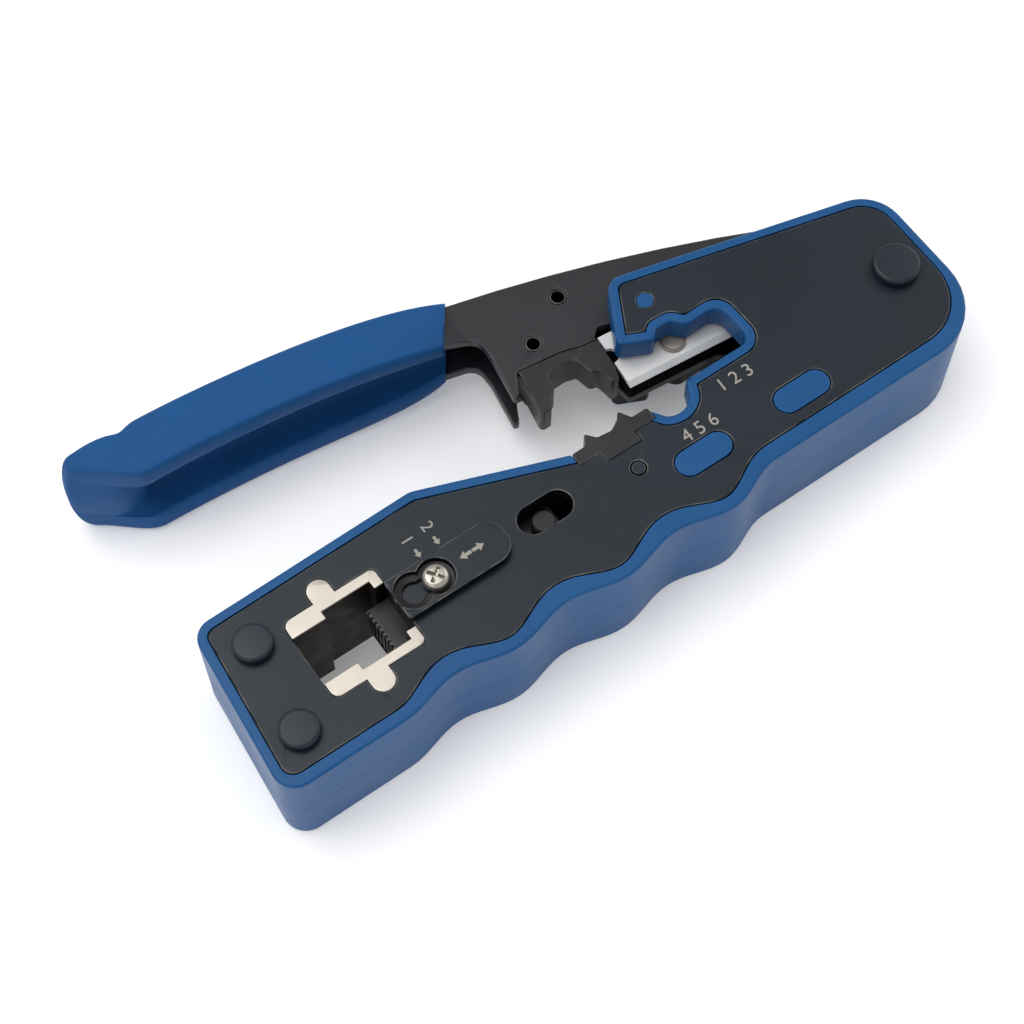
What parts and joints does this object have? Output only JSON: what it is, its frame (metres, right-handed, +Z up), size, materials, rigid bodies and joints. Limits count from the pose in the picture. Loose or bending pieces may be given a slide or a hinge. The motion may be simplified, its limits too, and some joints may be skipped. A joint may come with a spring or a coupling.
{
  "type": "modular plug crimping tool",
  "caption": "Hand crimping tool for modular network plugs: scalloped casing with plug nest and ram, hinged gripped handle with crimp jaw, cutter and stripper, slide selector.",
  "frame": {"origin": "where the pivot axis meets the face that the tool lies on", "axes": "+X along the body from the plug nest to the pivot head, +Y towards the moving handle, +Z up along the pivot axis"},
  "size_m": [0.1424, 0.0705, 0.0233],
  "materials": {
    "shell_plastic": "moulded nylon, satin",
    "plate_steel": "black oxide, worn bright along the edges",
    "rivet_steel": "black oxide",
    "nest_alloy": "cast, bead blasted",
    "die_steel": "hardened, black oxide",
    "handle_steel": "black oxide, satin",
    "blade_steel": "ground and honed",
    "bright_steel": "zinc plated",
    "grip_vinyl": "dipped vinyl, soft and matte"
  },
  "bodies": {
    "body": {"upper_shell": "shell_plastic", "lower_shell": "shell_plastic", "upper_cover_plate": "plate_steel", "lower_cover_plate": "plate_steel", "pivot_rivet": "rivet_steel", "nest_rivets": "rivet_steel", "frame_pin": "rivet_steel", "plug_nest": "nest_alloy", "fixed_die": "die_steel", "pivot_bush": "bright_steel", "return_spring": "bright_steel"},
    "handle": {"handle_channel": "handle_steel", "grip": "grip_vinyl", "moving_die": "handle_steel", "die_pins": "handle_steel", "blade": "blade_steel", "blade_holder": "handle_steel", "blade_rivet": "bright_steel", "link_pin": "bright_steel"},
    "link": {"drive_link": "die_steel"},
    "ram": {"ram": "die_steel", "trim_blade": "die_steel", "contact_comb": "die_steel", "strain_presser": "die_steel", "ram_pin": "bright_steel"},
    "selector": {"selector_plate": "plate_steel"},
    "selector_screw": {"selector_screw": "bright_steel"}
  },
  "joints": [
    {"name": "handle_pivot", "type": "hinge", "parent": "body", "child": "handle", "pos_m": [0, 0, 0.0105], "axis": [0, 0, 1], "range_deg": [0, 9.2], "stiffness_Nm_per_rad": 1.2, "springref_deg": -17.19, "deforming": ["return_spring"]},
    {"name": "link_pivot", "type": "hinge", "parent": "handle", "child": "link", "pos_m": [-0.016, 0.01, 0.0105], "axis": [0, 0, 1], "range_deg": [-11.78, 0]},
    {"name": "ram_slide", "type": "slide", "parent": "body", "child": "ram", "axis": [-1, 0, 0], "range_m": [0, 0.00194]},
    {"name": "selector_slide", "type": "slide", "parent": "body", "child": "selector", "axis": [1, 0, 0], "range_m": [0, 0.0042]},
    {"name": "selector_screw_turn", "type": "hinge", "parent": "body", "child": "selector_screw", "pos_m": [-0.0965, -0.0035, 0.0217], "axis": [0, 0, 1], "range_deg": [0, 180]}
  ],
  "couplings": [
    {"joint": "link_pivot", "follows": "handle_pivot", "ratio": -1.2794},
    {"joint": "ram_slide", "follows": "handle_pivot", "m_per_rad": 0.01207}
  ]
}
